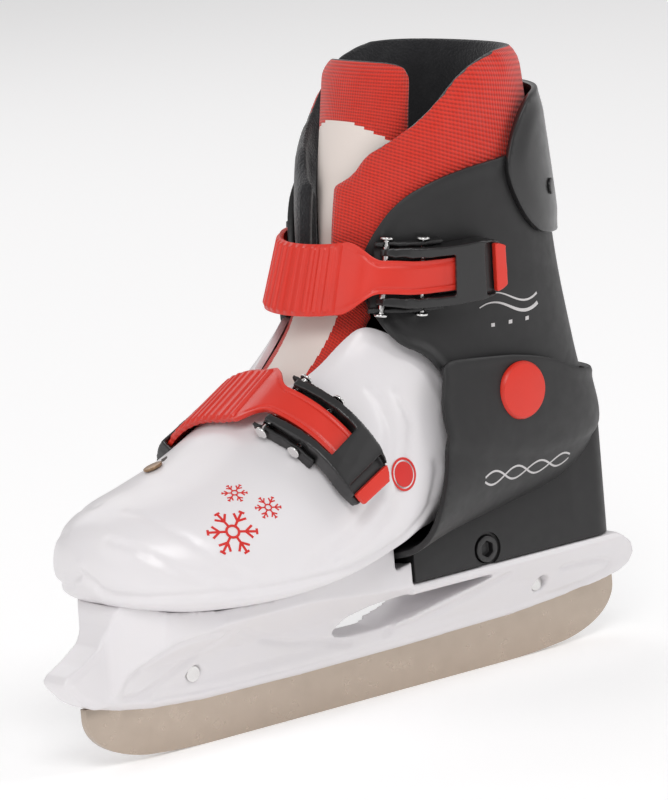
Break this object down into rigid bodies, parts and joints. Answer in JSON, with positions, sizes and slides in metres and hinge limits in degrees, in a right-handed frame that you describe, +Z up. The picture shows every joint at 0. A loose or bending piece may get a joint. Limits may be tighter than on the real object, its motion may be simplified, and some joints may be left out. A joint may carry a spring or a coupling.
{
  "type": "ice skate",
  "caption": "Size-adjustable hard-shell ice skate for the left foot, with a hinged cuff, lever buckles, straps, padded liner and a steel runner in a moulded holder.",
  "frame": {"origin": "middle of the runner's edge, where it meets the ice", "axes": "+X to the toe, +Y to the wearer's left, the side with the buckle levers, +Z up"},
  "size_m": [0.2469, 0.0975, 0.219],
  "materials": {
    "white_shell": "moulded white plastic, satin gloss",
    "black_shell": "moulded black plastic, fine grain",
    "red_plastic": "moulded red plastic, satin",
    "red_mesh": "padded ribbed mesh fabric",
    "fleece_lining": "black fleece lining",
    "tongue_panel": "smooth synthetic leather, warm white",
    "runner_steel": "ground steel",
    "rivet_metal": "bright plated metal",
    "footbed_foam": "foam footbed with woven top"
  },
  "bodies": {
    "chassis": {"runner": "runner_steel", "runner_rivet_front": "rivet_metal", "runner_rivet_rear": "rivet_metal", "blade_holder": "white_shell", "sole_screw_front": "rivet_metal", "sole_screw_rear": "rivet_metal", "front_shell": "white_shell", "toe_rivet": "rivet_metal", "liner_toe": "fleece_lining", "footbed": "footbed_foam", "lower_buckle_base": "black_shell", "lower_lever_pin": "rivet_metal", "lower_pawl_pin": "rivet_metal", "lower_strap": "red_plastic", "lower_strap_anchor": "black_shell", "lower_anchor_rivet": "rivet_metal"},
    "heel_carriage": {"heel_shell": "black_shell", "size_nut": "rivet_metal", "pivot_rivet_left": "rivet_metal", "pivot_rivet_right": "rivet_metal", "pivot_cap_left": "red_plastic", "pivot_cap_right": "red_plastic", "liner_heel": "fleece_lining", "tongue_lower": "tongue_panel"},
    "size_screw": {"size_screw": "black_shell"},
    "cuff": {"cuff": "black_shell", "rear_spoiler": "black_shell", "spoiler_rivet_left": "rivet_metal", "spoiler_rivet_right": "rivet_metal", "liner_collar": "red_mesh", "tongue_upper": "red_mesh", "upper_buckle_base": "black_shell", "upper_lever_pin": "rivet_metal", "upper_pawl_pin": "rivet_metal", "upper_strap": "red_plastic", "upper_strap_anchor": "black_shell", "upper_anchor_rivet": "rivet_metal"},
    "upper_lever": {"upper_lever": "black_shell"},
    "upper_pawl": {"upper_pawl": "black_shell"},
    "upper_release_tab": {"upper_release_tab": "red_plastic"},
    "lower_lever": {"lower_lever": "black_shell"},
    "lower_pawl": {"lower_pawl": "black_shell"},
    "lower_release_tab": {"lower_release_tab": "red_plastic"}
  },
  "joints": [
    {"name": "size_adjust", "type": "slide", "parent": "chassis", "child": "heel_carriage", "axis": [-1, 0, 0], "range_m": [0, 0.02]},
    {"name": "size_screw_turn", "type": "hinge", "parent": "heel_carriage", "child": "size_screw", "pos_m": [-0.0447, 0, 0.0462], "axis": [0, 1, 0], "range_deg": [0, 360]},
    {"name": "cuff_tilt", "type": "hinge", "parent": "heel_carriage", "child": "cuff", "pos_m": [-0.05, 0, 0.1025], "axis": [0, 1, 0], "range_deg": [-4, 7]},
    {"name": "upper_lever_open", "type": "hinge", "parent": "cuff", "child": "upper_lever", "pos_m": [-0.00312, 0.02873, 0.1486], "axis": [0.2413, 0.0308, -0.97], "range_deg": [0, 95]},
    {"name": "upper_pawl_lift", "type": "hinge", "parent": "cuff", "child": "upper_pawl", "pos_m": [-0.0151, 0.03446, 0.14746], "axis": [-0.0782, 0.072, 0.9943], "range_deg": [0, 8], "stiffness_Nm_per_rad": 0.02},
    {"name": "upper_release_press", "type": "slide", "parent": "upper_lever", "child": "upper_release_tab", "axis": [0.9905, -0.1362, -0.0181], "range_m": [0, 0.0025], "stiffness_N_per_m": 400},
    {"name": "lower_lever_open", "type": "hinge", "parent": "chassis", "child": "lower_lever", "pos_m": [0.03642, 0.01898, 0.11115], "axis": [0.8433, 0.0398, -0.536], "range_deg": [0, 95]},
    {"name": "lower_pawl_lift", "type": "hinge", "parent": "chassis", "child": "lower_pawl", "pos_m": [0.03325, 0.03127, 0.10486], "axis": [-0.8614, -0.0677, 0.5035], "range_deg": [0, 8], "stiffness_Nm_per_rad": 0.02},
    {"name": "lower_release_press", "type": "slide", "parent": "lower_lever", "child": "lower_release_tab", "axis": [0.4106, -0.2757, 0.8691], "range_m": [0, 0.0025], "stiffness_N_per_m": 400}
  ]
}
